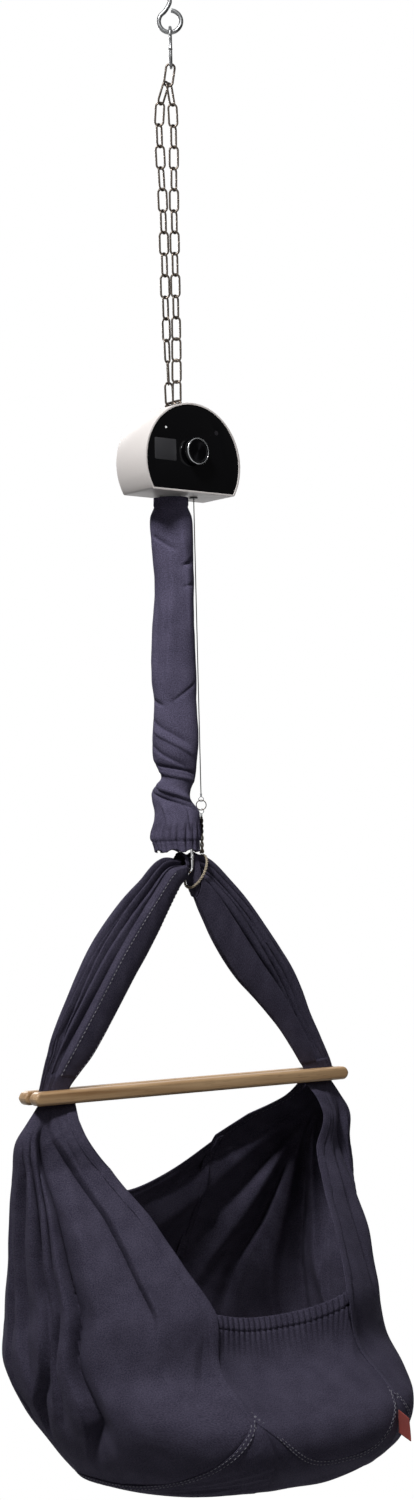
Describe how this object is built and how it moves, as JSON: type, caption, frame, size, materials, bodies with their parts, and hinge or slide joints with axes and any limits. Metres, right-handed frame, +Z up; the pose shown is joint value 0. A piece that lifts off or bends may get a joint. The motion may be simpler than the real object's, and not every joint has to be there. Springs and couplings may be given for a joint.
{
  "type": "hanging baby cradle",
  "caption": "Cloth baby cradle on two wooden bars, hung by a sleeved spring and chain from a ceiling eye, with a drive housing that rocks it by a cord.",
  "frame": {"origin": "where the screw eye enters the ceiling, on the load line", "axes": "+Z up along the load line, X along the spreader bars, -Y towards the front of the housing and the low side of the sling"},
  "size_m": [0.573, 0.5202, 2.117],
  "materials": {
    "zinc": "bright zinc plate",
    "chain_steel": "dark nickel plate",
    "chrome": "polished",
    "steel": "satin",
    "white_shell": "satin white",
    "black_gloss": "gloss black",
    "pane": "smoked",
    "lamp": "milky",
    "black_knob": "satin black",
    "black_plastic": "black",
    "board_green": "solder mask",
    "motor_can": "plain",
    "nylon": "natural",
    "dark_cord": "braided",
    "cotton": "twisted",
    "cloth": "woven cotton",
    "beech": "oiled beech",
    "padding": "quilted",
    "red_tag": "woven"
  },
  "bodies": {
    "ceiling_eye": {"ceiling_hook": "zinc"},
    "upper_carabiner": {"top_carabiner": "zinc"},
    "upper_gate": {"top_carabiner_gate": "zinc"},
    "chain": {"mid_link": "chain_steel", "strand_left": "chain_steel", "strand_right": "chain_steel"},
    "drive": {"suspension_bow": "chain_steel", "casing": "white_shell", "front_panel": "black_gloss", "display_pane": "pane", "status_lamp": "lamp", "sensor_lens": "pane", "rear_cover": "white_shell", "cover_screw_1": "steel", "cover_screw_2": "steel", "cover_screw_3": "steel", "cover_screw_4": "steel", "power_inlet": "black_plastic", "encoder": "black_plastic", "control_board": "board_green", "chassis": "steel", "gear_motor": "motor_can", "cord_bush": "black_plastic", "spring_hook": "steel"},
    "dial_slider": {"dial_stem": "steel", "encoder_plunger": "nylon"},
    "dial": {"dial_knob": "black_knob", "dial_ring": "chrome"},
    "spool": {"drive_shaft": "steel", "cord_spool": "nylon"},
    "sling": {"extension_spring": "steel", "spring_sleeve": "cloth", "pull_cord": "dark_cord", "cord_eye": "steel", "split_ring": "chrome", "rope_eye": "steel", "rope_sleeve": "dark_cord", "rope_strands": "cotton", "rope_knot": "cotton", "rope_loop": "cotton", "lower_carabiner": "chrome", "crown_loop": "cloth", "left_end_cloth": "cloth", "right_end_cloth": "cloth", "front_pocket": "cloth", "rear_panel": "cloth", "base_cloth": "cloth", "mattress": "padding", "front_bar": "beech", "rear_bar": "beech", "bar_pin_1": "steel", "bar_pin_2": "steel", "bar_pin_3": "steel", "side_tag": "red_tag"},
    "lower_gate": {"lower_carabiner_gate": "chrome"}
  },
  "joints": [
    {"name": "hook_swing", "type": "hinge", "parent": "ceiling_eye", "child": "upper_carabiner", "pos_m": [0, 0, -0.0503], "axis": [0.788, -0.6157, 0], "range_deg": [-12, 12]},
    {"name": "upper_gate_hinge", "type": "hinge", "parent": "upper_carabiner", "child": "upper_gate", "pos_m": [-0.0077, -0.00985, -0.07902], "axis": [-0.788, 0.6157, 0], "range_deg": [0, 22], "stiffness_Nm_per_rad": 0.05, "springref_deg": -17.19},
    {"name": "chain_swing", "type": "hinge", "parent": "upper_carabiner", "child": "chain", "pos_m": [0, 0, -0.10125], "axis": [0.6157, 0.788, 0], "range_deg": [-12, 12]},
    {"name": "drive_swing", "type": "hinge", "parent": "chain", "child": "drive", "pos_m": [0, 0.01, -0.5828], "axis": [0, 1, 0], "range_deg": [-10, 10]},
    {"name": "dial_push", "type": "slide", "parent": "drive", "child": "dial_slider", "axis": [0, 1, 0], "range_m": [0, 0.0012], "stiffness_N_per_m": 600, "springref_m": -0.002},
    {"name": "dial_turn", "type": "hinge", "parent": "dial_slider", "child": "dial", "pos_m": [0, -0.04, -0.6612], "axis": [0, 1, 0], "continuous": true},
    {"name": "bounce", "type": "slide", "parent": "drive", "child": "sling", "axis": [0, 0, -1], "range_m": [0, 0.15], "stiffness_N_per_m": 400, "springref_m": -0.15, "deforming": ["extension_spring", "spring_sleeve", "pull_cord"]},
    {"name": "spool_turn", "type": "hinge", "parent": "drive", "child": "spool", "pos_m": [0.03545, 0, -0.6885], "axis": [0, -1, 0], "range_deg": [0, 890]},
    {"name": "lower_gate_hinge", "type": "hinge", "parent": "sling", "child": "lower_gate", "pos_m": [0, -0.0125, -1.23077], "axis": [-1, 0, 0], "range_deg": [0, 22], "stiffness_Nm_per_rad": 0.05, "springref_deg": -17.19}
  ],
  "couplings": [
    {"joint": "spool_turn", "follows": "bounce", "rad_per_m": 102.56}
  ]
}
